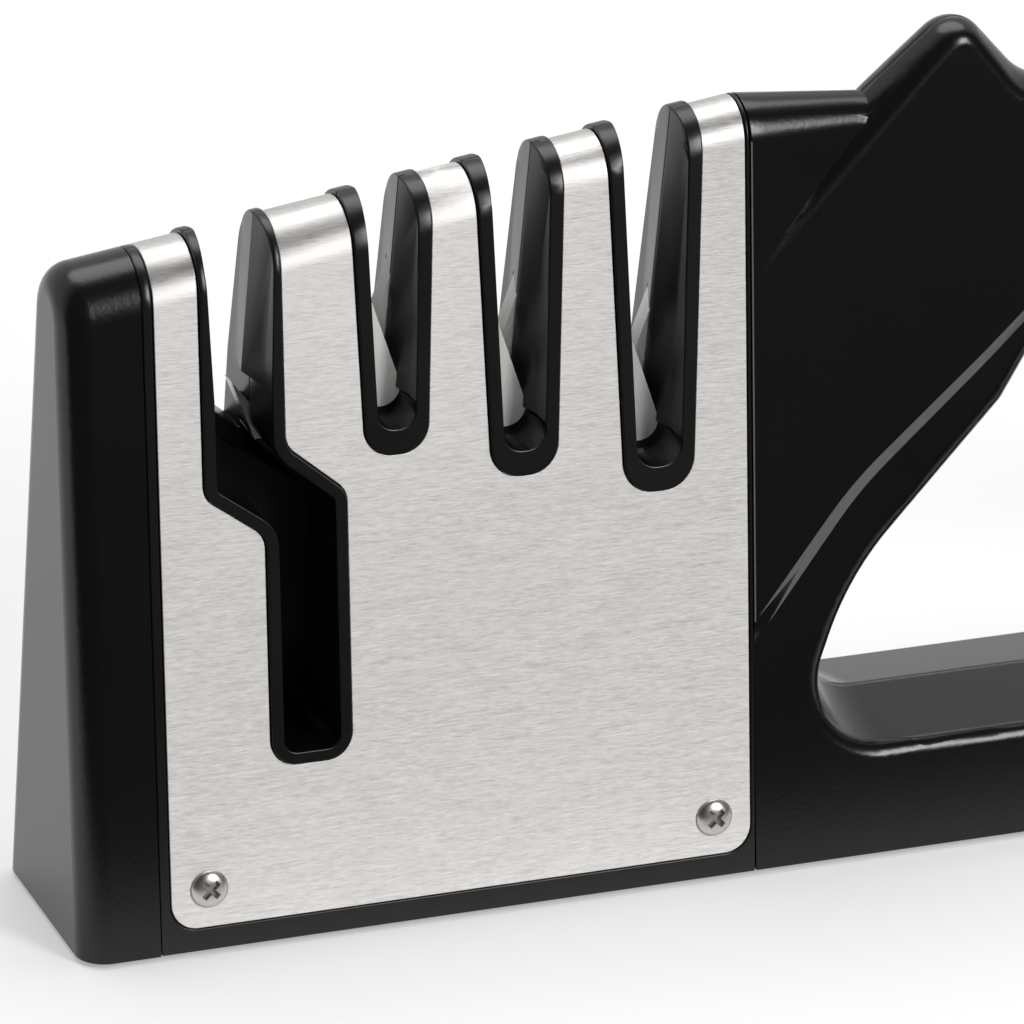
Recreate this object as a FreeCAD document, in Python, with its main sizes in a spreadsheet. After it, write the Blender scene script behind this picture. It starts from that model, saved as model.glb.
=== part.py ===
import FreeCAD, Part
import math
import os

import Sketcher
from FreeCAD import Placement, Rotation, Vector

# Hand-held pull-through sharpener for kitchen knives and scissors.
# Drawing frame: X runs from the end cap to the tail of the handle and starts at the left edge of the
# steel cover, Y = 0 is the parting plane of the mouldings, Z = 0 is their underside.
# Every piece's Placement then moves it so that the origin lies under the middle of the whole object.

os.makedirs("parts", exist_ok=True)
doc = FreeCAD.newDocument("sharpener")

# Driving dimensions in millimetres and degrees

DIMENSIONS = [
    ("cover_width", 62.0),
    ("base_depth", 26.0),
    ("face_lean", 6.74),
    ("top_height", 70.4),
    ("top_rise", 9.0),
    ("cover_thickness", 0.8),
    ("cover_lift", 2.4),
    ("cover_corner", 2.8),
    ("seam", 0.1),
    ("rim_left", 1.1),
    ("rim_right", 0.5),
    ("cap_length", 8.0),
    ("cap_wall", 2.0),
    ("cap_corner", 3.0),
    ("spigot_length", 4.5),
    ("tongue_length", 6.0),
    ("lip_width", 1.35),
    ("lip_proud", 0.4),
    ("lip_floor", 2.7),
    ("slot_flare", 2.2),
    ("throat_low", 0.85),
    ("throat_high", 2.9),
    ("throat_start", 2.4),
    ("throat_depth", 4.6),
    ("fine_x", 24.7),
    ("fine_width", 6.6),
    ("fine_depth", 25.6),
    ("medium_x", 38.1),
    ("medium_width", 7.0),
    ("medium_depth", 31.3),
    ("coarse_x", 52.4),
    ("coarse_width", 7.4),
    ("coarse_depth", 36.7),
    ("bar_width", 4.0),
    ("bar_thickness", 2.2),
    ("bar_length", 16.0),
    ("bar_lean", 19.6),
    ("bar_gap", 0.2),
    ("bar_rise", 2.5),
    ("bar_play", 0.1),
    ("scissor_x", 8.85),
    ("scissor_width", 8.6),
    ("pocket_step", 6.25),
    ("pocket_floor", 18.0),
    ("jog_depth", 24.1),
    ("screw_head", 3.9),
    ("screw_dome", 1.1),
    ("screw_shank", 2.0),
    ("screw_length", 7.0),
    ("screw_inset", 4.0),
    ("screw_rise", 6.4),
    ("handle_reach", 116.8),
    ("handle_wall", 2.6),
    ("surround_lean", 1.5),
    ("strip_width", 1.75),
    ("edge_round", 2.0),
    ("back_round", 4.0),
    ("neck_taper", 1.6),
    ("bolt_head", 5.0),
    ("bolt_shank", 2.6),
    ("foot_diameter", 9.0),
    ("foot_height", 2.2),
    ("foot_stand", 0.6),
]

sheet = doc.addObject("Spreadsheet::Sheet", "Dimensions")
for row, (name, value) in enumerate(DIMENSIONS, start=1):
    sheet.set(f"A{row}", name)
    sheet.set(f"B{row}", str(value))
    sheet.setAlias(f"B{row}", name)
doc.recompute()


def size(name):
    return float(sheet.get(name))


HALF_DEPTH = size("base_depth") / 2
LEAN = math.radians(size("face_lean"))
COVER_WIDTH = size("cover_width")
SEAM = size("seam")
CORE_LEFT = -size("rim_left")
CORE_RIGHT = COVER_WIDTH + size("rim_right")
CAP_RIGHT = CORE_LEFT - SEAM
CAP_LEFT = CAP_RIGHT - size("cap_length")
HANDLE_LEFT = CORE_RIGHT + SEAM
HANDLE_RIGHT = HANDLE_LEFT + size("handle_reach")
ORIGIN_X = (CAP_LEFT + HANDLE_RIGHT) / 2
BEYOND = 40.0
pieces = []


def place(piece):
    """Moves a finished piece from the drawing frame to its place over the origin."""
    stand = Placement(Vector(-ORIGIN_X, 0, size("foot_stand")), Rotation())
    piece.Placement = stand.multiply(piece.Placement)
    pieces.append(piece)


def add_piece(label, shape):
    """A moulding or pressing whose shape was made with surfaces and cuts."""
    piece = doc.addObject("Part::Feature", label)
    piece.Label = label
    piece.Shape = shape
    place(piece)


def start_body(label, plane):
    """A body with one sketch on one of its own planes."""
    body = doc.addObject("PartDesign::Body", label)
    body.Label = label
    sketch = body.newObject("Sketcher::SketchObject", label + "_sketch")
    origin_plane = next(item for item in body.Origin.OriginFeatures if item.Role == plane)
    sketch.AttachmentSupport = [(origin_plane, "")]
    sketch.MapMode = "FlatFace"
    return body, sketch


def pin(sketch, edge, point, across, upward):
    """Ties one end of a sketch line to two expressions on the sheet."""
    for kind, rule in (("DistanceX", across), ("DistanceY", upward)):
        number = sketch.addConstraint(Sketcher.Constraint(kind, -1, 1, edge, point, 1.0))
        sketch.setExpression(f"Constraints[{number}]", rule)


def finish_body(body, sketch, thickness):
    """Pads the sketch by a length from the sheet and leaves the pad as the body's tip."""
    pad = body.newObject("PartDesign::Pad", body.Name + "_pad")
    pad.Profile = sketch
    pad.setExpression("Length", f"Dimensions.{thickness}")
    sketch.Visibility = False
    body.Tip = pad
    doc.recompute()
    return body


# Outlines and sections that several pieces share

def outline(corners, depth):
    """Closed wire in side view from (x, z, corner radius); depth gives Y for a height."""
    count = len(corners)
    ends = []
    for index, (x, z, radius) in enumerate(corners):
        before = Vector(*corners[index - 1][:2], 0) - Vector(x, z, 0)
        after = Vector(*corners[(index + 1) % count][:2], 0) - Vector(x, z, 0)
        before.normalize()
        after.normalize()
        if radius == 0:
            ends.append((Vector(x, z, 0), None, Vector(x, z, 0)))
            continue
        half_turn = before.getAngle(after) / 2
        reach = radius / math.tan(half_turn)
        bisector = (before + after).normalize()
        centre = Vector(x, z, 0) + bisector * (radius / math.sin(half_turn))
        ends.append((Vector(x, z, 0) + before * reach, centre - bisector * radius,
                     Vector(x, z, 0) + after * reach))

    def lift(point):
        return Vector(point.x, depth(point.y), point.y)

    edges = []
    for index, (start, middle, end) in enumerate(ends):
        if middle is not None:
            edges.append(Part.Arc(lift(start), lift(middle), lift(end)).toShape())
        edges.append(Part.LineSegment(lift(end), lift(ends[(index + 1) % count][0])).toShape())
    return Part.Wire(edges)


def grown(corners, amount):
    """The same outline with every wall moved outward by amount, or inward when it is negative."""
    count = len(corners)
    points = [Vector(x, z, 0) for x, z, radius in corners]
    doubled_area = sum(points[index - 1].cross(points[index]).z for index in range(count))
    turn = math.copysign(1, doubled_area)
    moved = []
    for index, (x, z, radius) in enumerate(corners):
        arriving = (points[index] - points[index - 1]).normalize()
        leaving = (points[(index + 1) % count] - points[index]).normalize()
        first = Vector(arriving.y, -arriving.x, 0) * turn
        second = Vector(leaving.y, -leaving.x, 0) * turn
        shift = (first + second) * (amount / (1 + first.dot(second)))
        convex = arriving.cross(leaving).z * turn > 0
        bend = max(radius + (amount if convex else -amount), 0) if radius else 0
        moved.append((x + shift.x, z + shift.y, bend))
    return moved


def prism(corners, y_from, y_to):
    wire = outline(corners, lambda z: y_from)
    return Part.Face(wire).extrude(Vector(0, y_to - y_from, 0))


def between(corners_a, depth_a, corners_b, depth_b):
    """Solid ruled between two outlines that have the same number of corners."""
    return Part.makeLoft([outline(corners_a, depth_a), outline(corners_b, depth_b)], True, True)


def box(x_from, x_to, y_from, y_to, z_from, z_to):
    return Part.makeBox(x_to - x_from, y_to - y_from, z_to - z_from, Vector(x_from, y_from, z_from))


def face_depth(z):
    return HALF_DEPTH - z * math.tan(LEAN)


def top_of_head(x):
    reach = min(x, CORE_RIGHT)
    return size("top_height") + size("top_rise") * reach / COVER_WIDTH


def head_section(x, inset, bottom):
    """The head's cross-section: two leaning faces under a full round."""
    radius = face_depth(top_of_head(x)) * math.cos(LEAN) / (1 - math.sin(LEAN))
    centre = top_of_head(x) - radius
    radius = radius - inset
    side = face_depth(bottom) - inset / math.cos(LEAN)
    shoulder = Vector(x, radius * math.cos(LEAN), centre + radius * math.sin(LEAN))
    other = Vector(x, -shoulder.y, shoulder.z)
    edges = [
        Part.LineSegment(Vector(x, side, bottom), shoulder).toShape(),
        Part.Arc(shoulder, Vector(x, 0, centre + radius), other).toShape(),
        Part.LineSegment(other, Vector(x, -side, bottom)).toShape(),
        Part.LineSegment(Vector(x, -side, bottom), Vector(x, side, bottom)).toShape(),
    ]
    return Part.Wire(edges)


def head_block(x_from, x_to, inset=0.0, bottom=0.0, end_inset=None):
    """A length of the head; end_inset makes it narrower at its right end."""
    last = inset if end_inset is None else end_inset
    return Part.makeLoft([head_section(x_from, inset, bottom), head_section(x_to, last, bottom)], True, True)


# Slots: a knife slot is U-shaped and flares upward, the scissor slot jogs into a closed pocket

SKY = 95.0
KNIFE_SLOTS = ("fine", "medium", "coarse")
FLOOR_ROUND = 0.92


def slot_floor(name):
    return top_of_head(size(name + "_x")) - size(name + "_depth")


def knife_outline(name, inset=0.0, floor_inset=0.0, top=SKY):
    centre = size(name + "_x")
    floor = slot_floor(name) + floor_inset
    low = size(name + "_width") / 2 - inset
    high = low + (top - floor) * math.tan(math.radians(size("slot_flare")))
    return [
        (centre - high, top, 0),
        (centre - low, floor, low * FLOOR_ROUND),
        (centre + low, floor, low * FLOOR_ROUND),
        (centre + high, top, 0),
    ]


SCISSOR_LEFT = size("scissor_x") - size("scissor_width") / 2
SCISSOR_RIGHT = size("scissor_x") + size("scissor_width") / 2
POCKET_LEFT = SCISSOR_LEFT + size("pocket_step")
POCKET_RIGHT = POCKET_LEFT + size("scissor_width")
JOG_TOP = size("top_height") - size("jog_depth")
JOG_FALL = 4.5
JOG_RISE = 4.3
POCKET_DROP = 0.9
SCISSOR_BEND = 2.4
POCKET_BEND = 2.8
SCISSOR_OPENING = [
    (SCISSOR_LEFT, SKY, 0),
    (SCISSOR_LEFT, JOG_TOP, SCISSOR_BEND),
    (POCKET_LEFT, JOG_TOP - JOG_FALL, SCISSOR_BEND),
    (POCKET_LEFT, size("pocket_floor"), POCKET_BEND),
    (POCKET_RIGHT, size("pocket_floor"), POCKET_BEND),
    (POCKET_RIGHT, JOG_TOP - POCKET_DROP, SCISSOR_BEND),
    (SCISSOR_RIGHT, JOG_TOP + JOG_RISE, SCISSOR_BEND),
    (SCISSOR_RIGHT, SKY, 0),
]


THROAT_RUN = 20.0


def throat(name, side):
    """The walls of a knife slot pinch towards the parting plane; side is -1 for the front half."""
    low_z = slot_floor(name) + size("lip_floor") + size("throat_start")
    centre = size(name + "_x")
    wide = size(name + "_width") / 2 - size("lip_width")
    flare = (SKY - low_z) * math.tan(math.radians(size("slot_flare")))
    return pinched(centre, low_z, wide, wide + flare, size("throat_low"), side)


def pinched(centre, low_z, wide_low, wide_high, narrow_low, side):
    """Half of an hourglass passage: wide at throat_depth from the middle, narrow at the middle."""
    spread = (SKY - low_z) * (size("throat_high") - size("throat_low")) / THROAT_RUN
    narrow_high = min(narrow_low + spread, wide_high)
    wide = [(centre - wide_low, low_z, 0), (centre + wide_low, low_z, 0),
            (centre + wide_high, SKY, 0), (centre - wide_high, SKY, 0)]
    narrow = [(centre - narrow_low, low_z, 0), (centre + narrow_low, low_z, 0),
              (centre + narrow_high, SKY, 0), (centre - narrow_high, SKY, 0)]
    depth = side * size("throat_depth")
    inner = between(wide, lambda z: depth, narrow, lambda z: 0.0)
    return inner.fuse(prism(wide, depth, side * BEYOND))


def bar_placement(name, side, y_middle):
    """Where an abrasive bar stands: leaning across its slot, above the slot's floor."""
    height = slot_floor(name) + size("lip_floor") + size("bar_rise")
    lean = Rotation(Vector(0, 1, 0), side * size("bar_lean"))
    return Placement(Vector(size(name + "_x"), y_middle, height), lean)


def bar_seat(name, side):
    """The pocket of a bar: the bar's own outline with play all round, from the parting plane."""
    play = size("bar_play")
    half_width = size("bar_width") / 2 + play
    depth = size("bar_gap") + size("bar_thickness") + play
    outline_of_seat = [(-half_width, size("bar_length") + play, 0), (-half_width, 0, 0),
                       (half_width, 0, 0), (half_width, size("bar_length") + play, 0)]
    seat = prism(outline_of_seat, 0, side * depth)
    low_end = Part.makeCylinder(half_width, depth, Vector(0, 0, 0), Vector(0, side, 0))
    seat = seat.fuse(low_end).removeSplitter()
    seat.Placement = bar_placement(name, side, 0)
    return seat


def bar_body(label, name, side):
    """An abrasive bar: a flat strip whose lower end is round."""
    body, sketch = start_body(label, "XZ_Plane")
    left = sketch.addGeometry(Part.LineSegment(Vector(-2, 16, 0), Vector(-2, 0, 0)))
    low = sketch.addGeometry(Part.ArcOfCircle(Part.Circle(Vector(0, 0, 0), Vector(0, 0, 1), 2),
                                              math.pi, 2 * math.pi))
    right = sketch.addGeometry(Part.LineSegment(Vector(2, 0, 0), Vector(2, 16, 0)))
    top = sketch.addGeometry(Part.LineSegment(Vector(2, 16, 0), Vector(-2, 16, 0)))
    sketch.addConstraint(Sketcher.Constraint("Coincident", low, 3, -1, 1))
    sketch.addConstraint(Sketcher.Constraint("Coincident", left, 2, low, 1))
    sketch.addConstraint(Sketcher.Constraint("Coincident", low, 2, right, 1))
    sketch.addConstraint(Sketcher.Constraint("Coincident", right, 2, top, 1))
    sketch.addConstraint(Sketcher.Constraint("Coincident", top, 2, left, 1))
    pin(sketch, left, 1, "-Dimensions.bar_width / 2", "Dimensions.bar_length")
    pin(sketch, right, 1, "Dimensions.bar_width / 2", "0 mm")
    pin(sketch, right, 2, "Dimensions.bar_width / 2", "Dimensions.bar_length")
    sketch.addConstraint(Sketcher.Constraint("PointOnObject", low, 1, -1))
    finish_body(body, sketch, "bar_thickness")
    near = size("bar_gap") if side > 0 else -size("bar_gap") - size("bar_thickness")
    body.Placement = bar_placement(name, side, near - body.Shape.BoundBox.YMin)
    place(body)


PLATE_OUTLINE = [(1.15, 15.4), (3.65, 21.8), (7.15, 21.8), (7.15, 18.8), (3.85, 18.8)]


def scissor_plate_seat():
    play = size("bar_play")
    corners = [(size("scissor_x") + across, size("top_height") - drop, 0) for across, drop in PLATE_OUTLINE]
    return prism(grown(corners, play), 0, size("bar_gap") + size("bar_thickness") + play)


def scissor_plate_body():
    """A hooked plate in the back half of the core; its sloping edge meets the scissor blade."""
    body, sketch = start_body("scissor_plate", "XZ_Plane")
    count = len(PLATE_OUTLINE)
    for index, corner in enumerate(PLATE_OUTLINE):
        following = PLATE_OUTLINE[(index + 1) % count]
        sketch.addGeometry(Part.LineSegment(Vector(corner[0], -corner[1], 0), Vector(following[0], -following[1], 0)))
    for index, (across, drop) in enumerate(PLATE_OUTLINE):
        sketch.addConstraint(Sketcher.Constraint("Coincident", index - 1 if index else count - 1, 2, index, 1))
        pin(sketch, index, 1, f"Dimensions.scissor_x + {across}", f"Dimensions.top_height - {drop}")
    finish_body(body, sketch, "bar_thickness")
    body.Placement = Placement(Vector(0, size("bar_gap") - body.Shape.BoundBox.YMin, 0), Rotation())
    place(body)


# Fasteners: a pan-head screw drawn once, with its head up, and set where it is needed

def screw(head, dome, shank, length):
    radius = head / 2
    curve = (radius ** 2 + dome ** 2) / (2 * dome)
    ball = Part.makeSphere(curve, Vector(0, 0, dome - curve))
    cap = ball.common(Part.makeCylinder(radius, dome, Vector(0, 0, 0)))
    stem = Part.makeCylinder(shank / 2, length - shank, Vector(0, 0, -(length - shank)))
    tip = Part.makeCone(shank / 8, shank / 2, shank, Vector(0, 0, -length))
    body = cap.fuse([stem, tip]).removeSplitter()
    arm = head * 0.42
    slit = head * 0.12
    recess = Part.makeBox(arm, slit, dome, Vector(-arm / 2, -slit / 2, dome * 0.35))
    cross = recess.fuse(Part.makeBox(slit, arm, dome, Vector(-slit / 2, -arm / 2, dome * 0.35)))
    return body.cut(cross)


def cover_screw_places():
    height = size("screw_rise")
    for x in (size("screw_inset"), COVER_WIDTH - size("screw_inset")):
        for side in (-1, 1):
            yield x, side, height


def set_on_face(shape, x, side, height):
    """Turns a piece drawn along +Z so that it stands square on a leaning face."""
    shape = shape.copy()
    shape.rotate(Vector(0, 0, 0), Vector(1, 0, 0), -side * (90 - size("face_lean")))
    shape.translate(Vector(x, side * face_depth(height), height))
    return shape


HEAD_TOP = top_of_head(CORE_RIGHT)
CORE_SCREW_PLACES = [
    (6.0, 11.0),
    (COVER_WIDTH / 2 + 0.4, 14.0),
    (COVER_WIDTH - 6.0, 13.0),
    ((size("fine_x") + size("medium_x")) / 2, slot_floor("medium") - 6.6),
]
HANDLE_SCREW_PLACES = [
    (HANDLE_LEFT + 13.4, 5.6),
    (HANDLE_LEFT + 11.4, HEAD_TOP - 29.5),
    (HANDLE_LEFT + 24.4, HEAD_TOP - 11.5),
    (HANDLE_RIGHT - 58.4, HEAD_TOP - 19.0),
    (HANDLE_RIGHT - 8.4, 16.0),
    (HANDLE_RIGHT - 57.4, 5.6),
]


def side_screw(x, z, head, dome, shank, length, seat):
    """A screw along Y that goes in from the back; seat is the Y of the underside of its head."""
    shape = screw(head, dome, shank, length)
    shape.rotate(Vector(0, 0, 0), Vector(1, 0, 0), -90)
    shape.translate(Vector(x, seat, z))
    return shape


TOUCH = 0.01
BOSS_RADIUS = 4.2
NECK_LENGTH = 19.5
FOOT_PLACES = (HANDLE_LEFT + 7.4, HANDLE_RIGHT - 19.4)
FOOT_Y = 6.6
CORE_SEAT = 4.0
CORE_SCREW_LENGTH = 8.0
HANDLE_SEAT = 2.2
HANDLE_SCREW_LENGTH = 6.0


def screw_hole(x, z, head, shank, seat, length):
    play = 0.15
    shank_hole = Part.makeCylinder(shank / 2 + play, length + play, Vector(x, seat - length - play, z),
                                   Vector(0, 1, 0))
    head_hole = Part.makeCylinder(head / 2 + play, BEYOND, Vector(x, seat, z), Vector(0, 1, 0))
    return shank_hole.fuse(head_hole)


# Steel cover: one sheet bent over the head, slotted like a comb

def cover_frame(grow):
    corner = size("cover_corner") + grow
    return [
        (-grow, SKY, 0),
        (-grow, size("cover_lift") - grow, corner),
        (COVER_WIDTH + grow, size("cover_lift") - grow, corner),
        (COVER_WIDTH + grow, SKY, 0),
    ]


def all_slots(inset, floor_inset):
    shapes = [prism(knife_outline(name, inset, floor_inset), -BEYOND, BEYOND) for name in KNIFE_SLOTS]
    shapes.append(prism(grown(SCISSOR_OPENING, -inset), -BEYOND, BEYOND))
    return shapes


head = head_block(CORE_LEFT, CORE_RIGHT)
under_cover = head_block(CORE_LEFT, CORE_RIGHT, size("cover_thickness") + 0.02)
sheet_metal = head.cut(under_cover).common(prism(cover_frame(0), -BEYOND, BEYOND))
sheet_metal = sheet_metal.cut(all_slots(0, 0))
for x, side, height in cover_screw_places():
    hole = Part.makeCylinder(size("screw_shank") / 2 + SEAM, 6, Vector(0, 0, -3))
    sheet_metal = sheet_metal.cut(set_on_face(hole, x, side, height))
add_piece("steel_cover", sheet_metal)

# Core: two mouldings that meet at the parting plane and hold the abrasives between them

shroud = prism(cover_frame(SEAM), -BEYOND, BEYOND).cut(under_cover)
core = head.cut(shroud)
proud_head = head_block(CORE_LEFT, CORE_RIGHT, -size("lip_proud"))
for name in KNIFE_SLOTS:
    lip = prism(knife_outline(name, SEAM, SEAM), -BEYOND, BEYOND)
    core = core.fuse(proud_head.common(lip))
core = core.fuse(proud_head.common(prism(grown(SCISSOR_OPENING, -SEAM), -BEYOND, BEYOND)))
in_cap = size("cap_wall") + SEAM
in_handle = size("handle_wall") + SEAM
spigot = head_block(CORE_LEFT - size("spigot_length"), CORE_LEFT, in_cap, in_cap)
tongue = head_block(CORE_RIGHT, CORE_RIGHT + size("tongue_length"), in_handle, in_handle)
core = core.fuse([spigot, tongue]).removeSplitter()
for x, side, height in cover_screw_places():
    hole = Part.makeCylinder(size("screw_shank") / 2, size("screw_length") + 0.3,
                             Vector(0, 0, -size("screw_length") - 0.3))
    core = core.cut(set_on_face(hole, x, side, height))


def core_half(side):
    half = core.common(box(CAP_LEFT, HANDLE_RIGHT, min(0, side * BEYOND), max(0, side * BEYOND), -1, SKY))
    lip = size("lip_width")
    for name in KNIFE_SLOTS:
        chamber_top = slot_floor(name) + size("lip_floor") + size("throat_start")
        chamber = prism(knife_outline(name, lip, size("lip_floor"), chamber_top), 0, side * BEYOND)
        half = half.cut([chamber, throat(name, side), bar_seat(name, side)])
    for x, z in CORE_SCREW_PLACES:
        half = half.cut(screw_hole(x, z, size("bolt_head"), size("bolt_shank"), CORE_SEAT, CORE_SCREW_LENGTH))
    return half


SCISSOR_LOW = size("top_height") - 14.4
SCISSOR_PINCH = 0.9
scissor_wall = size("scissor_width") / 2 - size("lip_width")


def scissor_throat(side):
    flare = (SKY - SCISSOR_LOW) * math.tan(math.radians(size("slot_flare")))
    return pinched(size("scissor_x"), SCISSOR_LOW, scissor_wall, scissor_wall + flare,
                   scissor_wall - SCISSOR_PINCH, side)


inner_left = SCISSOR_LEFT + size("lip_width")
inner_right = SCISSOR_RIGHT - size("lip_width")
passage = grown(SCISSOR_OPENING, -size("lip_width"))
passage[0] = (passage[0][0], SCISSOR_LOW, 0)
passage[-1] = (passage[-1][0], SCISSOR_LOW, 0)
core_front = core_half(-1).cut([prism(passage, 0, -BEYOND), scissor_throat(-1)])
add_piece("core_front", core_front)

# The back half closes the pocket; a ledge slopes from the pocket up to a short slot in the back wall

LEDGE_DEPTH = 3.0
LEDGE_END = POCKET_RIGHT - 1.6
LEDGE_STEP = 1.2
rear_left = JOG_TOP + 7.3
rear_right = JOG_TOP + 2.5
ledge_front = [(inner_left, SCISSOR_LOW, 0), (inner_left, JOG_TOP + 4.9, 0),
               (LEDGE_END, JOG_TOP - 3.1, 0), (LEDGE_END, JOG_TOP - 3.1 + LEDGE_STEP, 0),
               (inner_right, JOG_TOP + 3.3, 0), (inner_right, SCISSOR_LOW, 0)]
ledge_back = [(inner_left, SCISSOR_LOW, 0), (inner_left, rear_left, 0),
              (inner_right, rear_right, 0), (inner_right, rear_right + LEDGE_STEP / 2, 0),
              (inner_right, rear_right + LEDGE_STEP, 0), (inner_right, SCISSOR_LOW, 0)]
ledge = between(ledge_front, lambda z: 0.0, ledge_back, lambda z: LEDGE_DEPTH)
rear_slot = prism([(inner_left, SCISSOR_LOW, 0), (inner_left, rear_left, 0), (inner_right, rear_right, 0),
                   (inner_right, SCISSOR_LOW, 0)], LEDGE_DEPTH, BEYOND)
core_back = core_half(1).cut([ledge, rear_slot, scissor_throat(1), scissor_plate_seat()])
add_piece("core_back", core_back)

# Abrasives: a crossed pair of bars in each knife slot and one plate for scissors

for name, material in (("fine", "ceramic"), ("medium", "diamond"), ("coarse", "carbide")):
    bar_body(material + "_bar_front", name, -1)
    bar_body(material + "_bar_back", name, 1)
scissor_plate_body()

# End cap: a deep cup that closes the left end

cap = head_block(CAP_LEFT, CAP_RIGHT)
end_edges = [edge for edge in cap.Edges
             if edge.BoundBox.XMax < CAP_LEFT + 0.01 and edge.BoundBox.ZMax > 1.0]
cap = cap.makeFillet(size("cap_corner"), end_edges)
cap = cap.cut(head_block(CAP_LEFT + size("cap_wall"), CAP_RIGHT + 1, size("cap_wall"), size("cap_wall")))
add_piece("end_cap", cap)

# Handle: two half shells with a hump for the thumb and a loop for the fingers

HANDLE_CREST = [
    (HANDLE_LEFT, 0, 0),
    (HANDLE_LEFT, HEAD_TOP - 12.6, 0),
    (HANDLE_LEFT + 22.2, HEAD_TOP + 8.6, 4.5),
    (HANDLE_LEFT + 30.2, HEAD_TOP + 1.1, 9),
    (HANDLE_LEFT + 45.4, HEAD_TOP - 7.5, 60),
    (HANDLE_RIGHT - 45.4, HEAD_TOP - 14.0, 150),
    (HANDLE_RIGHT - 22.4, HEAD_TOP - 22.5, 60),
    (HANDLE_RIGHT - 6.4, HEAD_TOP - 36.5, 30),
    (HANDLE_RIGHT, 24.0, 40),
    (HANDLE_RIGHT, 0, 0),
]
HANDLE_FACE = [
    (HANDLE_LEFT, 0, 0),
    (HANDLE_LEFT, HEAD_TOP - 16.9, 0),
    (HANDLE_LEFT + 23.7, HEAD_TOP + 5.9, 2.5),
    (HANDLE_LEFT + 29.0, HEAD_TOP - 1.5, 8),
    (HANDLE_LEFT + 43.9, HEAD_TOP - 11.1, 55),
    (HANDLE_RIGHT - 46.4, HEAD_TOP - 17.7, 140),
    (HANDLE_RIGHT - 24.4, HEAD_TOP - 25.7, 55),
    (HANDLE_RIGHT - 9.9, HEAD_TOP - 38.5, 26),
    (HANDLE_RIGHT - 3.6, 23.6, 34),
    (HANDLE_RIGHT - 3.6, 0, 0),
]
LOOP_FACE = [
    (HANDLE_LEFT + 4.2, 11.2, 7.0),
    (HANDLE_LEFT + 11.0, 29.0, 30),
    (HANDLE_LEFT + 27.8, 45.8, 2.0),
    (HANDLE_LEFT + 35.4, HEAD_TOP - 21.9, 8.0),
    (HANDLE_RIGHT - 49.4, HEAD_TOP - 25.3, 90),
    (HANDLE_RIGHT - 27.9, HEAD_TOP - 33.5, 30),
    (HANDLE_RIGHT - 15.9, 35.0, 15),
    (HANDLE_RIGHT - 13.4, 11.2, 7.0),
]
LOOP_MIDDLE = [
    (HANDLE_LEFT + 5.8, 13.2, 6.5),
    (HANDLE_LEFT + 12.6, 28.6, 28),
    (HANDLE_LEFT + 29.0, 44.6, 2.5),
    (HANDLE_LEFT + 36.4, HEAD_TOP - 23.7, 8.0),
    (HANDLE_RIGHT - 49.4, HEAD_TOP - 27.1, 86),
    (HANDLE_RIGHT - 28.6, HEAD_TOP - 35.1, 28),
    (HANDLE_RIGHT - 17.6, 34.0, 14.0),
    (HANDLE_RIGHT - 15.2, 13.2, 6.5),
]
SURROUND = [
    (HANDLE_LEFT - 5.0, 18.0, 0),
    (HANDLE_LEFT + 0.4, 26.8, 0),
    (HANDLE_LEFT + 10.8, 39.6, 40),
    (HANDLE_LEFT + 25.4, 51.6, 50),
    (HANDLE_LEFT + 38.4, HEAD_TOP - 16.5, 12),
    (HANDLE_RIGHT - 47.4, HEAD_TOP - 21.1, 80),
    (HANDLE_RIGHT - 25.8, HEAD_TOP - 29.3, 32),
    (HANDLE_RIGHT - 12.4, 38.4, 16),
    (HANDLE_RIGHT - 8.9, 22.0, 10),
    (HANDLE_RIGHT - 8.9, -5.0, 0),
    (HANDLE_LEFT - 5.0, -5.0, 0),
]


def middle_plane(z):
    return 0.0


def face_plane(side):
    return lambda z: side * face_depth(z)


def recess_plane(side):
    slope = math.tan(math.radians(size("face_lean") + size("surround_lean")))
    return lambda z: side * (HALF_DEPTH - z * slope)


def beyond_face(side):
    return lambda z: side * BEYOND


def edges_in(shape, plane, beside=None):
    """Edges of shape that lie in a plane, above the underside and right of the head.
    With beside, only the ones that also touch that solid."""
    found = []
    for edge in shape.Edges:
        middle = edge.valueAt((edge.FirstParameter + edge.LastParameter) / 2)
        points = [edge.valueAt(edge.FirstParameter), middle, edge.valueAt(edge.LastParameter)]
        if any(abs(point.y - plane(point.z)) > TOUCH for point in points):
            continue
        if edge.BoundBox.ZMax < 1 or edge.BoundBox.XMax < HANDLE_LEFT + 1:
            continue
        if beside is None or beside.distToShape(Part.Vertex(middle))[0] < TOUCH:
            found.append(edge)
    return found


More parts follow.
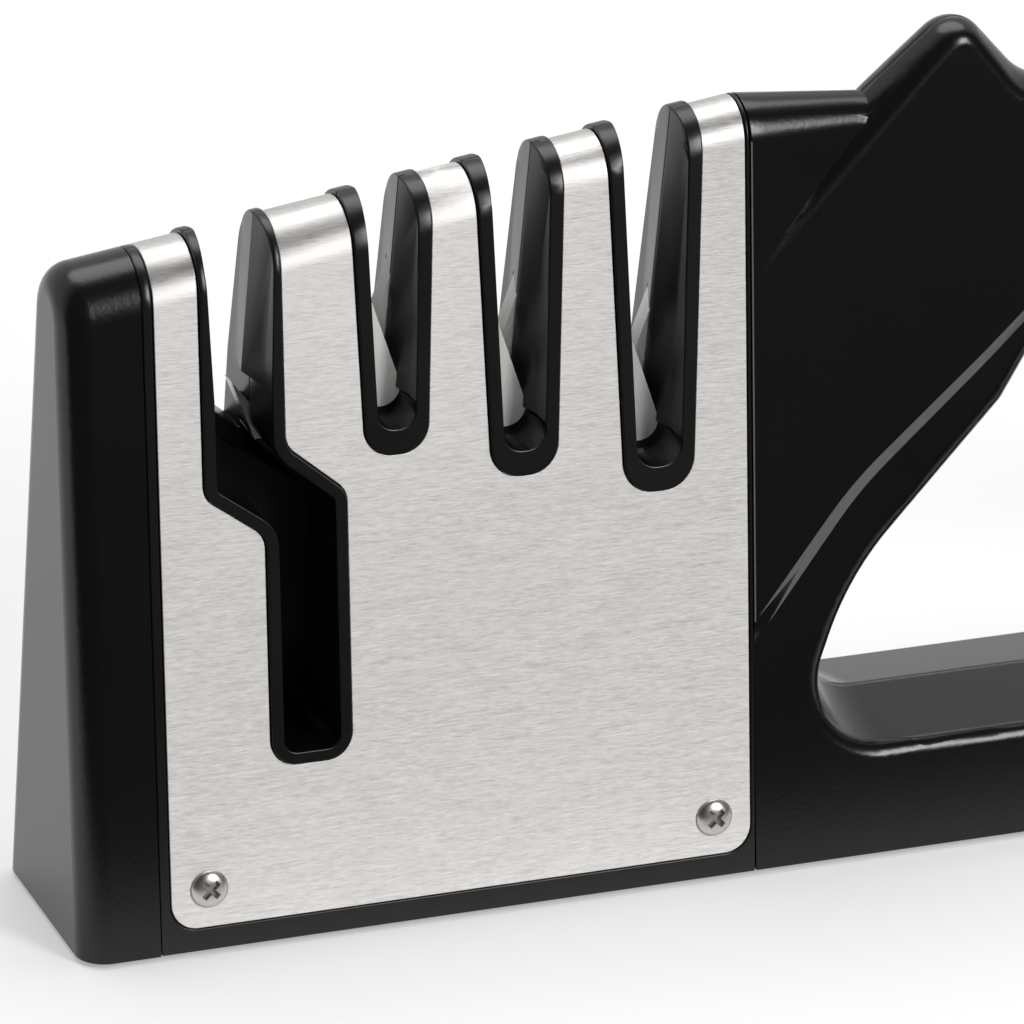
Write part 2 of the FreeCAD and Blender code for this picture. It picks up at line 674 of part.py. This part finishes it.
def handle_form():
    """The outside of both shells together: slab, rounded back, neck, recess and finger loop."""
    slabs = [between(HANDLE_CREST, middle_plane, HANDLE_FACE, face_plane(side)) for side in (-1, 1)]
    form = slabs[0].fuse(slabs[1]).removeSplitter()
    form = form.makeFillet(size("back_round"), edges_in(form, middle_plane))
    rims = edges_in(form, face_plane(-1)) + edges_in(form, face_plane(1))
    form = form.makeFillet(size("edge_round"), rims)
    neck = head_block(HANDLE_LEFT, HANDLE_LEFT + NECK_LENGTH, end_inset=size("neck_taper"))
    form = form.fuse(neck).removeSplitter()
    for side in (-1, 1):
        strip = between(grown(SURROUND, -size("strip_width")), recess_plane(side), SURROUND, face_plane(side))
        form = form.cut([strip, between(SURROUND, face_plane(side), SURROUND, beyond_face(side))])
    loops = []
    for side in (-1, 1):
        loops.append(between(LOOP_MIDDLE, middle_plane, LOOP_FACE, face_plane(side)))
        loops.append(between(LOOP_FACE, face_plane(side), LOOP_FACE, beyond_face(side)))
    form = form.cut(loops)
    rims = edges_in(form, recess_plane(-1), loops[0]) + edges_in(form, recess_plane(1), loops[2])
    form = form.makeFillet(size("edge_round"), rims)
    return form.makeFillet(size("back_round"), edges_in(form, middle_plane, loops[0]))


handle_outside = handle_form()


def handle_half(side):
    wall = size("handle_wall")

    def wedge(gap):
        """Everything between the parting plane and the recessed face, less gap."""
        base = recess_plane(side)(0) - side * gap
        top = recess_plane(side)(SKY) - side * gap
        corners = [Vector(0, 0, 0), Vector(0, base, 0), Vector(0, top, SKY), Vector(0, 0, SKY), Vector(0, 0, 0)]
        section = Part.Face(Part.makePolygon(corners))
        section.translate(Vector(HANDLE_LEFT - 1, 0, 0))
        return section.extrude(Vector(HANDLE_RIGHT - HANDLE_LEFT + 2, 0, 0))

    half_space = box(CAP_LEFT, HANDLE_RIGHT + BEYOND, min(0, side * BEYOND), max(0, side * BEYOND), -1, SKY)
    half = handle_outside.common(half_space)
    outer = Part.Face(outline(HANDLE_FACE, middle_plane)).makeOffset2D(-wall)
    inner = Part.Face(outline(LOOP_FACE, middle_plane)).makeOffset2D(wall)
    through = Vector(0, side * BEYOND, 0)
    cavity = outer.extrude(through).cut(inner.extrude(through)).common(wedge(wall))
    for x, z in HANDLE_SCREW_PLACES:
        cavity = cavity.cut(Part.makeCylinder(BOSS_RADIUS, 2 * BEYOND, Vector(x, -BEYOND, z), Vector(0, 1, 0)))
    tongue_room = head_block(HANDLE_LEFT - 1, CORE_RIGHT + size("tongue_length") + SEAM, wall, wall)
    half = half.cut([cavity, tongue_room])
    for x, z in HANDLE_SCREW_PLACES:
        half = half.cut(screw_hole(x, z, size("bolt_head"), size("bolt_shank"), HANDLE_SEAT,
                                   HANDLE_SCREW_LENGTH))
    for x in FOOT_PLACES:
        seat = Part.makeCylinder(size("foot_diameter") / 2 + SEAM, size("foot_height") + SEAM,
                                 Vector(x, side * FOOT_Y, -size("foot_stand")))
        half = half.cut(seat)
    return half


for label, side in (("handle_front", -1), ("handle_back", 1)):
    add_piece(label, handle_half(side))

# Feet: rubber buttons pressed into the underside


def foot_body(label, x, side):
    body, sketch = start_body(label, "XY_Plane")
    rim = sketch.addGeometry(Part.Circle(Vector(0, 0, 0), Vector(0, 0, 1), 4))
    sketch.addConstraint(Sketcher.Constraint("Coincident", rim, 3, -1, 1))
    number = sketch.addConstraint(Sketcher.Constraint("Diameter", rim, 8.0))
    sketch.setExpression(f"Constraints[{number}]", "Dimensions.foot_diameter")
    finish_body(body, sketch, "foot_height")
    body.Placement = Placement(Vector(x, side * FOOT_Y, -size("foot_stand")), Rotation())
    place(body)


for name, x in zip(("head", "tail"), FOOT_PLACES):
    for word, side in (("front", -1), ("back", 1)):
        foot_body(f"foot_{name}_{word}", x, side)

# Fasteners: each group of like screws is one node

cover_screws = [set_on_face(screw(size("screw_head"), size("screw_dome"), size("screw_shank"),
                                  size("screw_length")), *spot) for spot in cover_screw_places()]
add_piece("cover_screws", Part.makeCompound(cover_screws))
core_screws = [side_screw(x, z, size("bolt_head") - 0.2, 1.4, size("bolt_shank"), CORE_SCREW_LENGTH, CORE_SEAT)
               for x, z in CORE_SCREW_PLACES]
add_piece("core_screws", Part.makeCompound(core_screws))
handle_screws = [side_screw(x, z, size("bolt_head") - 0.2, 1.4, size("bolt_shank"), HANDLE_SCREW_LENGTH,
                            HANDLE_SEAT) for x, z in HANDLE_SCREW_PLACES]
add_piece("handle_screws", Part.makeCompound(handle_screws))

# Check every object, then write one file for each piece

doc.recompute()
for item in doc.Objects:
    if "Invalid" in item.State or "Error" in item.State:
        raise RuntimeError(f"{item.Label} did not recompute")
for piece in pieces:
    if piece.Shape.isNull() or not piece.Shape.isValid():
        raise RuntimeError(f"{piece.Label} has no valid shape")
    piece.Shape.exportStep(f"parts/{piece.Label}.step")
    print(piece.Label, len(piece.Shape.Solids), round(piece.Shape.Volume, 1))
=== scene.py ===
import math

import bmesh
import bpy
from mathutils import Matrix, Vector


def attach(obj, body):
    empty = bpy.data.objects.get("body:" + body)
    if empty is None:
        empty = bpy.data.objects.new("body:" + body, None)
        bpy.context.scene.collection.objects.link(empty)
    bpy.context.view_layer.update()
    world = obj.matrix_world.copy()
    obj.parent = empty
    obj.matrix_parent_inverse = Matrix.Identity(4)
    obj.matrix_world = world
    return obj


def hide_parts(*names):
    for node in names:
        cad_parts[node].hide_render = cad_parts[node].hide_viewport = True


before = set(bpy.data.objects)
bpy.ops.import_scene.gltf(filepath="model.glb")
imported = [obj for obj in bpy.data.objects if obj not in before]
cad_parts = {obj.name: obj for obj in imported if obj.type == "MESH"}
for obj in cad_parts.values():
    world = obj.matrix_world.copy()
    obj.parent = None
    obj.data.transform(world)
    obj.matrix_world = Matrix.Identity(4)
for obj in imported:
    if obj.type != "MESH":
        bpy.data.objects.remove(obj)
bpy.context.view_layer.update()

# Core: two glossy black mouldings that meet at the middle plane and carry everything else.
# Injection-moulded ABS; the walls of the slots are polished, so they catch long thin reflections.


class Signal:
    """An output of a finish's nodes; arithmetic on it adds the nodes that do the sum."""

    def __init__(self, finish, socket):
        self.finish = finish
        self.socket = socket

    def sum_of(self, operation, first, second):
        return self.finish.node("ShaderNodeMath", {"operation": operation}, {0: first, 1: second})

    def __add__(self, other):
        return self.sum_of("ADD", self, other)

    def __sub__(self, other):
        return self.sum_of("SUBTRACT", self, other)

    def __rsub__(self, other):
        return self.sum_of("SUBTRACT", other, self)

    def __mul__(self, other):
        return self.sum_of("MULTIPLY", self, other)

    __radd__ = __add__
    __rmul__ = __mul__


class Finish:
    """Nodes under construction: a material's, for the pieces that wear it, or the world's."""

    def __init__(self, name, family=bpy.data.materials):
        self.holder = family.new(name)
        self.holder.use_nodes = True
        self.tree = self.holder.node_tree
        self.tree.nodes.clear()

    def node(self, kind, settings=None, sockets=None, output=0):
        made = self.tree.nodes.new(kind)
        for key, value in (settings or {}).items():
            setattr(made, key, value)
        for key, value in (sockets or {}).items():
            if isinstance(value, Signal):
                self.tree.links.new(value.socket, made.inputs[key])
            else:
                made.inputs[key].default_value = value
        return Signal(self, made.outputs[output])

    def place_on_piece(self, stretch=(1, 1, 1)):
        """Position on the piece in metres, squeezed by stretch along each axis."""
        where = self.node("ShaderNodeTexCoord", output="Object")
        return self.node("ShaderNodeMapping", {}, {"Vector": where, "Scale": stretch})

    def grain(self, scale, detail=2.0, stretch=(1, 1, 1), roughness=0.5):
        """Noise with scale cells to the metre; under 1, stretch draws them out along that axis."""
        return self.node("ShaderNodeTexNoise", {}, {
            "Vector": self.place_on_piece(stretch), "Scale": scale, "Detail": detail, "Roughness": roughness})

    def tint(self, amount, low, high):
        """The colour between low and high; 6 and 7 are the Mix node's colour sockets, 2 its colour output."""
        return self.node("ShaderNodeMix", {"data_type": "RGBA"}, {0: amount, 6: (*low, 1), 7: (*high, 1)}, 2)

    def bump(self, height, strength, depth):
        return self.node("ShaderNodeBump", {}, {"Strength": strength, "Distance": depth, "Height": height})

    def surface(self, **sockets):
        named = {key.replace("_", " "): value for key, value in sockets.items()}
        self.show(self.node("ShaderNodeBsdfPrincipled", {}, named))

    def show(self, shader, kind="ShaderNodeOutputMaterial"):
        made = self.tree.nodes.new(kind)
        self.tree.links.new(shader.socket, made.inputs["Surface"])

    def wear(self, *names):
        for name in names:
            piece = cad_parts[name]
            for slot in piece.material_slots:
                slot.material = self.holder
            if not piece.material_slots:
                piece.data.materials.append(self.holder)


def loose_piece(name, form, finish):
    mesh = bpy.data.meshes.new(name)
    form.to_mesh(mesh)
    form.free()
    mesh.materials.append(finish.holder)
    piece = bpy.data.objects.new(name, mesh)
    bpy.context.scene.collection.objects.link(piece)
    return piece


def smooth_below(form, crease):
    """Smooth faces, with a sharp edge wherever two of them meet at the crease angle or more."""
    for face in form.faces:
        face.smooth = True
    for edge in form.edges:
        edge.smooth = not edge.is_manifold or edge.calc_face_angle() < crease


SAME_POINT = 2e-6
NEARLY_FLAT = math.radians(0.3)
MOULDED_CREASE = math.radians(40)


def eased(node, finish, radius, corner=28):
    """The node's own solid with its sharp edges rounded, as they leave the mould or the press."""
    form = bmesh.new()
    form.from_mesh(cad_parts[node].data)
    bmesh.ops.remove_doubles(form, verts=form.verts, dist=SAME_POINT)
    bmesh.ops.dissolve_limit(form, angle_limit=NEARLY_FLAT, verts=form.verts, edges=form.edges)
    too_short_to_round = radius * 0.6
    bmesh.ops.dissolve_degenerate(form, edges=form.edges, dist=too_short_to_round)
    crisp = [edge for edge in form.edges if edge.is_manifold and edge.calc_face_angle() > math.radians(corner)]
    bmesh.ops.bevel(form, geom=crisp, offset=radius, offset_type="OFFSET", segments=2, profile=0.5,
                    affect="EDGES", clamp_overlap=False, loop_slide=True, material=-1)
    bmesh.ops.recalc_face_normals(form, faces=form.faces)
    smooth_below(form, MOULDED_CREASE)
    piece = loose_piece(node + "_eased", form, finish)
    even = piece.modifiers.new("even", "WEIGHTED_NORMAL")
    even.keep_sharp = True
    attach(piece, "root")
    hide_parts(node)
    return piece


core_finish = Finish("polished black moulding")
flow = core_finish.grain(60, 3)
core_finish.surface(
    Base_Color=core_finish.tint(flow, (0.002, 0.002, 0.0022), (0.004, 0.004, 0.0044)),
    Roughness=flow * 0.08 + 0.26,
    Specular_IOR_Level=0.5,
    Normal=core_finish.bump(core_finish.grain(2600, 2), 0.08, 0.00002))
core_finish.wear("core_front", "core_back")
for half in ("core_front", "core_back"):
    eased(half, core_finish, radius=0.00016)

# Abrasive bars: fired ceramic, diamond-coated steel and sintered carbide, crossed in pairs.
# They lie in pockets of the core, and the scissor plate with them, before its halves close.


def abrasive(name, low, high, metal, rough, grit, nodes):
    finish = Finish(name)
    crystals = finish.grain(grit, 4, roughness=0.7)
    clouds = finish.grain(180, 2)
    finish.surface(
        Base_Color=finish.tint(crystals * 0.7 + clouds * 0.3, low, high),
        Metallic=metal,
        Roughness=rough - crystals * 0.15,
        Normal=finish.bump(crystals, 0.5, 0.00008))
    finish.wear(*nodes)


abrasive("fired ceramic", (0.50, 0.49, 0.47), (0.74, 0.73, 0.70), metal=0.0, rough=0.55, grit=4200,
         nodes=("ceramic_bar_front", "ceramic_bar_back"))
abrasive("diamond coating", (0.55, 0.55, 0.53), (0.95, 0.95, 0.91), metal=0.35, rough=0.5, grit=7000,
         nodes=("diamond_bar_front", "diamond_bar_back"))
abrasive("sintered carbide", (0.60, 0.60, 0.585), (0.92, 0.92, 0.89), metal=0.5, rough=0.42, grit=3000,
         nodes=("carbide_bar_front", "carbide_bar_back"))
abrasive("scissor plate", (0.55, 0.55, 0.54), (0.80, 0.80, 0.78), metal=0.85, rough=0.32, grit=2500,
         nodes=("scissor_plate",))

# Steel cover: one stainless sheet, slotted like a comb and bent over the head of the core.
# It is brushed along its length, then held by four small screws at its lower corners.

cover_finish = Finish("brushed stainless")
strokes = cover_finish.grain(6000, 2, stretch=(0.14, 1, 1), roughness=0.6)
scratches = cover_finish.grain(2600, 3, stretch=(0.08, 1, 1), roughness=0.7)
mottle = cover_finish.grain(900, 3, stretch=(0.35, 1, 1), roughness=0.65)
brushing = strokes * 1.1 + scratches * 0.7 + mottle * 0.3 - 0.55
cover_finish.surface(
    Base_Color=cover_finish.tint(brushing, (0.50, 0.485, 0.47), (0.84, 0.82, 0.80)),
    Metallic=1.0,
    Roughness=brushing * 0.2 + 0.41,
    Anisotropic=0.6,
    Anisotropic_Rotation=0.25,
    Normal=cover_finish.bump(brushing, 0.5, 0.00002))
cover_finish.wear("steel_cover")
eased("steel_cover", cover_finish, radius=0.00012)

# Cover screws: four polished pan heads with a cross recess, two in front and two behind.
# Cold-headed steel; each head sits square on its leaning face and clamps a corner of the cover.

SCREW_RIGHT = (-0.0811, -0.0271)
SCREW_OUT = 0.01224
SCREW_UP = 0.007
FACE_LEAN = math.radians(6.74)
SCREW_PROFILE = ((0.0, 0.00076), (0.0008, 0.00073), (0.00128, 0.00064), (0.00164, 0.00048),
                 (0.00186, 0.0003), (0.00194, 0.00016), (0.00184, 0.0), (0.001, 0.0),
                 (0.001, -0.0052), (0.0, -0.0068))
PUNCH_SPAN = 0.0032
PUNCH_WIDTH = 0.00088
PUNCH_TALL = 0.0016
PUNCH_CENTRE = 0.001
PUNCH_TAPER = 0.55
SCREW_CREASE = math.radians(35)

screw_finish = Finish("polished screw steel")
marks = screw_finish.grain(1500, 3)
screw_finish.surface(
    Base_Color=screw_finish.tint(marks, (0.60, 0.585, 0.56), (0.78, 0.765, 0.74)),
    Metallic=1.0,
    Roughness=marks * 0.12 + 0.24,
    Normal=screw_finish.bump(marks, 0.1, 0.00003))
# The faces of the cross recess are painted a darker grey-brown than the head: painted shade in the hollow.
recess_shade_finish = Finish("screw recess with painted shade")
scale = recess_shade_finish.grain(2400, 3)
recess_shade_finish.surface(
    Base_Color=recess_shade_finish.tint(scale, (0.22, 0.19, 0.165), (0.42, 0.37, 0.33)),
    Metallic=0.7,
    Roughness=scale * 0.2 + 0.45,
    Normal=recess_shade_finish.bump(scale, 0.3, 0.00004))


def turned_screw():
    """One screw with its head up: the profile spun round, then the cross pressed into the head."""
    form = bmesh.new()
    points = [form.verts.new((across, 0, height)) for across, height in SCREW_PROFILE]
    line = [form.edges.new(pair) for pair in zip(points, points[1:])]
    bmesh.ops.spin(form, geom=points + line, axis=(0, 0, 1), cent=(0, 0, 0), steps=40, angle=math.tau,
                   use_merge=True)
    bmesh.ops.remove_doubles(form, verts=form.verts, dist=1e-7)
    bmesh.ops.recalc_face_normals(form, faces=form.faces)
    blank = loose_piece("screw_blank", form, screw_finish)
    form = bmesh.new()
    for turn in (0, math.pi / 2):
        stand = Matrix.Rotation(turn + math.pi / 4, 4, "Z")
        sides = Matrix.Diagonal((PUNCH_SPAN, PUNCH_WIDTH, PUNCH_TALL, 1))
        bar = bmesh.ops.create_cube(form, size=1, matrix=stand @ sides)
        bmesh.ops.translate(form, verts=bar["verts"], vec=(0, 0, PUNCH_CENTRE))
        low = [corner for corner in bar["verts"] if corner.co.z < PUNCH_CENTRE]
        bmesh.ops.scale(form, verts=low, vec=(PUNCH_TAPER, PUNCH_TAPER, 1))
    # The punch's faces carry the painted shade into the recess of the head.
    punch = loose_piece("screw_punch", form, recess_shade_finish)
    press = blank.modifiers.new("recess", "BOOLEAN")
    press.operation = "DIFFERENCE"
    press.object = punch
    press.solver = "EXACT"
    press.use_self = True
    press.material_mode = "TRANSFER"
    bpy.context.view_layer.update()
    shaped = bpy.data.meshes.new_from_object(blank.evaluated_get(bpy.context.evaluated_depsgraph_get()))
    for tool in (blank, punch):
        bpy.data.objects.remove(tool)
    return shaped


one_screw = turned_screw()
form = bmesh.new()
for right in SCREW_RIGHT:
    for side in (-1, 1):
        before = len(form.verts)
        form.from_mesh(one_screw)
        form.verts.ensure_lookup_table()
        lean = Matrix.Rotation(-side * (math.pi / 2 - FACE_LEAN), 4, "X")
        place = Matrix.Translation((right, side * SCREW_OUT, SCREW_UP))
        bmesh.ops.transform(form, verts=form.verts[before:], matrix=place @ lean)
smooth_below(form, SCREW_CREASE)
heads = loose_piece("cover_screws_detailed", form, screw_finish)
heads.data.materials.append(recess_shade_finish.holder)
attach(heads, "root")
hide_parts("cover_screws")

# Hidden screws: plain pan heads inside the core and down the wells of the back handle shell.
# Cold-headed from the same steel as the cover screws; nobody sees them with the object whole.

screw_finish.wear("cover_screws", "core_screws", "handle_screws")

# End cap and handle shells: black ABS with a fine spark-eroded grain, satin to the eye.
# The cap's corners leave the mould round; the shells' sharp edges are eased here.

shell_finish = Finish("black grained moulding")
pebbles = shell_finish.grain(2400, 3, roughness=0.6)
flow = shell_finish.grain(35, 3)
shell_finish.surface(
    Base_Color=shell_finish.tint(flow, (0.0022, 0.0022, 0.0024), (0.0045, 0.0045, 0.0048)),
    Roughness=flow * 0.05 + pebbles * 0.05 + 0.17,
    Specular_IOR_Level=0.45,
    Normal=shell_finish.bump(pebbles, 0.3, 0.00005))
shell_finish.wear("end_cap", "handle_front", "handle_back")
shells = [eased(half, shell_finish, radius=0.0002, corner=60)
          for half in ("handle_front", "handle_back")]

# Border of the recess: the narrow slope round the finger loop, between the shell's outer plane
# and the plane of the recess. It is part of each shell, left rougher in the mould than the rest, and painted
# lighter grey: painted sheen.

HALF_DEPTH = 0.013
FOOT_STAND = 0.0006
RECESS_LEAN = math.radians(1.5)
LEAST_TURNED_IN = 0.6
MOST_TURNED_IN = 0.93
STEEPEST_UP = 0.2
CLEAR_OF_INNER = 0.1

border_sheen_finish = Finish("border of the recess with painted sheen")
specks = border_sheen_finish.grain(3200, 3, roughness=0.6)
# Base colour far lighter than the black shell: a painted sheen where the slope catches light.
border_sheen_finish.surface(
    Base_Color=border_sheen_finish.tint(specks, (0.05, 0.05, 0.051), (0.11, 0.11, 0.112)),
    Roughness=specks * 0.15 + 0.4,
    Normal=border_sheen_finish.bump(specks, 0.3, 0.00004))
# Faces of the slope are picked out to wear the painted sheen.
for shell in shells:
    shell.data.materials.append(border_sheen_finish.holder)
    for face in shell.data.polygons:
        height = face.center.z - FOOT_STAND
        outer = HALF_DEPTH - height * math.tan(FACE_LEAN)
        inner = HALF_DEPTH - height * math.tan(FACE_LEAN + RECESS_LEAN)
        off_inner = (outer - inner) * CLEAR_OF_INNER
        on_slope = inner + off_inner < abs(face.center.y) < outer
        turned_in = LEAST_TURNED_IN < abs(face.normal.y) < MOST_TURNED_IN and face.normal.z < STEEPEST_UP
        if on_slope and turned_in and outer > inner:
            face.material_index = 1

# Feet: soft black rubber buttons pressed into the underside.
# Moulded rubber, dull and a little dusty where it meets the table.

foot_finish = Finish("foot rubber")
dust = foot_finish.grain(700, 3)
foot_finish.surface(
    Base_Color=foot_finish.tint(dust, (0.012, 0.012, 0.012), (0.03, 0.03, 0.029)),
    Roughness=dust * 0.15 + 0.7,
    Normal=foot_finish.bump(dust, 0.4, 0.0001))
foot_finish.wear("foot_head_front", "foot_head_back", "foot_tail_front", "foot_tail_back")

# Floor: a wide white paper sheet that still shows the object's shadow.
# Eye and mirrors see it whitened, but in front of the object the floor is painted dark for mirrors only: a
# painted dark reflection.

FLOOR_SIZE = 12
WHITENED = 0.3
DARK_REFLECTION_STARTS = -0.014
DARK_REFLECTION_FULL = -0.06

bpy.ops.mesh.primitive_plane_add(size=FLOOR_SIZE)
floor = bpy.context.object
floor.name = "studio_floor"
paper = Finish("white paper")
seen = paper.node("ShaderNodeLightPath", output="Is Camera Ray")
mirrored = paper.node("ShaderNodeLightPath", output="Is Glossy Ray")
through = paper.node("ShaderNodeLightPath", output="Is Transmission Ray")
plain = paper.node("ShaderNodeBsdfDiffuse", {}, {"Color": (0.88, 0.88, 0.88, 1)})
glow = paper.node("ShaderNodeEmission", {}, {"Color": (1, 1, 1, 1), "Strength": 1.0})
lit = paper.node("ShaderNodeMixShader", {}, {0: (seen + mirrored + through) * WHITENED, 1: plain, 2: glow})
depth = paper.node("ShaderNodeSeparateXYZ", {}, {0: paper.node("ShaderNodeTexCoord", output="Object")}, "Y")
# From just in front of the object forwards, mirrors see the floor painted near black: painted dark reflection.
on_dark_reflection = paper.node("ShaderNodeMapRange", {}, {"Value": depth, "From Min": DARK_REFLECTION_STARTS, "From Max": DARK_REFLECTION_FULL})
painted_dark_reflection = paper.node("ShaderNodeBsdfDiffuse", {}, {"Color": (0.03, 0.03, 0.03, 1)})
paper.show(paper.node("ShaderNodeMixShader", {}, {0: mirrored * on_dark_reflection, 1: lit, 2: painted_dark_reflection}))
floor.data.materials.append(paper.holder)

# Light: a white backdrop behind the object, seen by the eye and by mirrors, and a dim room in front.
# A tall narrow soft light stands in front to the right, and a wide one hangs over the back.

BACKDROP_STARTS = -0.25
BACKDROP_FULL = 0.2
BACKDROP_SEEN = 0.98
BACKDROP_MIRRORED = 0.93
ROOM_MIRRORED = 0.05
ALL_ROUND = 0.75

room = Finish("studio", bpy.data.worlds)
bpy.context.scene.world = room.holder
seen = room.node("ShaderNodeLightPath", output="Is Camera Ray")
mirrored = room.node("ShaderNodeLightPath", output="Is Glossy Ray")
through = room.node("ShaderNodeLightPath", output="Is Transmission Ray")
scattered = room.node("ShaderNodeLightPath", output="Is Diffuse Ray")
depth = room.node("ShaderNodeSeparateXYZ", {}, {0: room.node("ShaderNodeTexCoord", output="Generated")}, "Y")
behind = room.node("ShaderNodeMapRange", {}, {
    "Value": depth, "From Min": BACKDROP_STARTS, "From Max": BACKDROP_FULL})
in_mirrors = mirrored * (behind * BACKDROP_MIRRORED + ROOM_MIRRORED)
level = (seen + through) * BACKDROP_SEEN + in_mirrors + scattered * ALL_ROUND
room.show(room.node("ShaderNodeBackground", {}, {"Strength": level}), "ShaderNodeOutputWorld")


def soft_light(name, place, aim, wide, high, power):
    lamp = bpy.data.lights.new(name, "AREA")
    lamp.shape = "ELLIPSE"
    lamp.size = wide
    lamp.size_y = high
    lamp.energy = power
    holder = bpy.data.objects.new(name, lamp)
    bpy.context.scene.collection.objects.link(holder)
    holder.location = place
    holder.rotation_euler = (Vector(aim) - Vector(place)).to_track_quat("-Z", "Y").to_euler()


def ahead_of_object(turn_right, lift, far):
    """A place in front of the object, turn_right and lift degrees off straight ahead."""
    across, rise = math.radians(turn_right), math.radians(lift)
    return (far * math.sin(across) * math.cos(rise), -far * math.cos(across) * math.cos(rise),
            far * math.sin(rise))


soft_light("overhead", (0.05, 0.3, 1.1), (0, 0, 0.04), wide=1.2, high=0.7, power=6.1)
soft_light("front_band", ahead_of_object(24, 28, 1.2), (0, 0, 0.05), wide=0.32, high=0.66, power=8.0)

# Camera: where the photograph was taken from.
# The turn, pitch and roll were fitted to the straight edges of the cover.

EYE = (-0.3107, -0.6713, 0.3454)
TURN, PITCH, ROLL = math.radians(21.58), math.radians(23.07), math.radians(1.61)

camera = bpy.data.objects.new("camera", bpy.data.cameras.new("camera"))
bpy.context.scene.collection.objects.link(camera)
camera.data.sensor_width = 36
camera.data.lens = 275.0
camera.data.clip_start = 0.05
camera.data.clip_end = 50
ahead = Vector((math.sin(TURN) * math.cos(PITCH), math.cos(TURN) * math.cos(PITCH), -math.sin(PITCH)))
level_right = Vector((math.cos(TURN), -math.sin(TURN), 0))
level_up = level_right.cross(ahead)
right = math.cos(ROLL) * level_right + math.sin(ROLL) * level_up
up = math.cos(ROLL) * level_up - math.sin(ROLL) * level_right
facing = Matrix((right, up, -ahead)).transposed().to_4x4()
camera.matrix_world = Matrix.Translation(EYE) @ facing
bpy.context.scene.camera = camera

bpy.context.scene.view_settings.view_transform = "Standard"
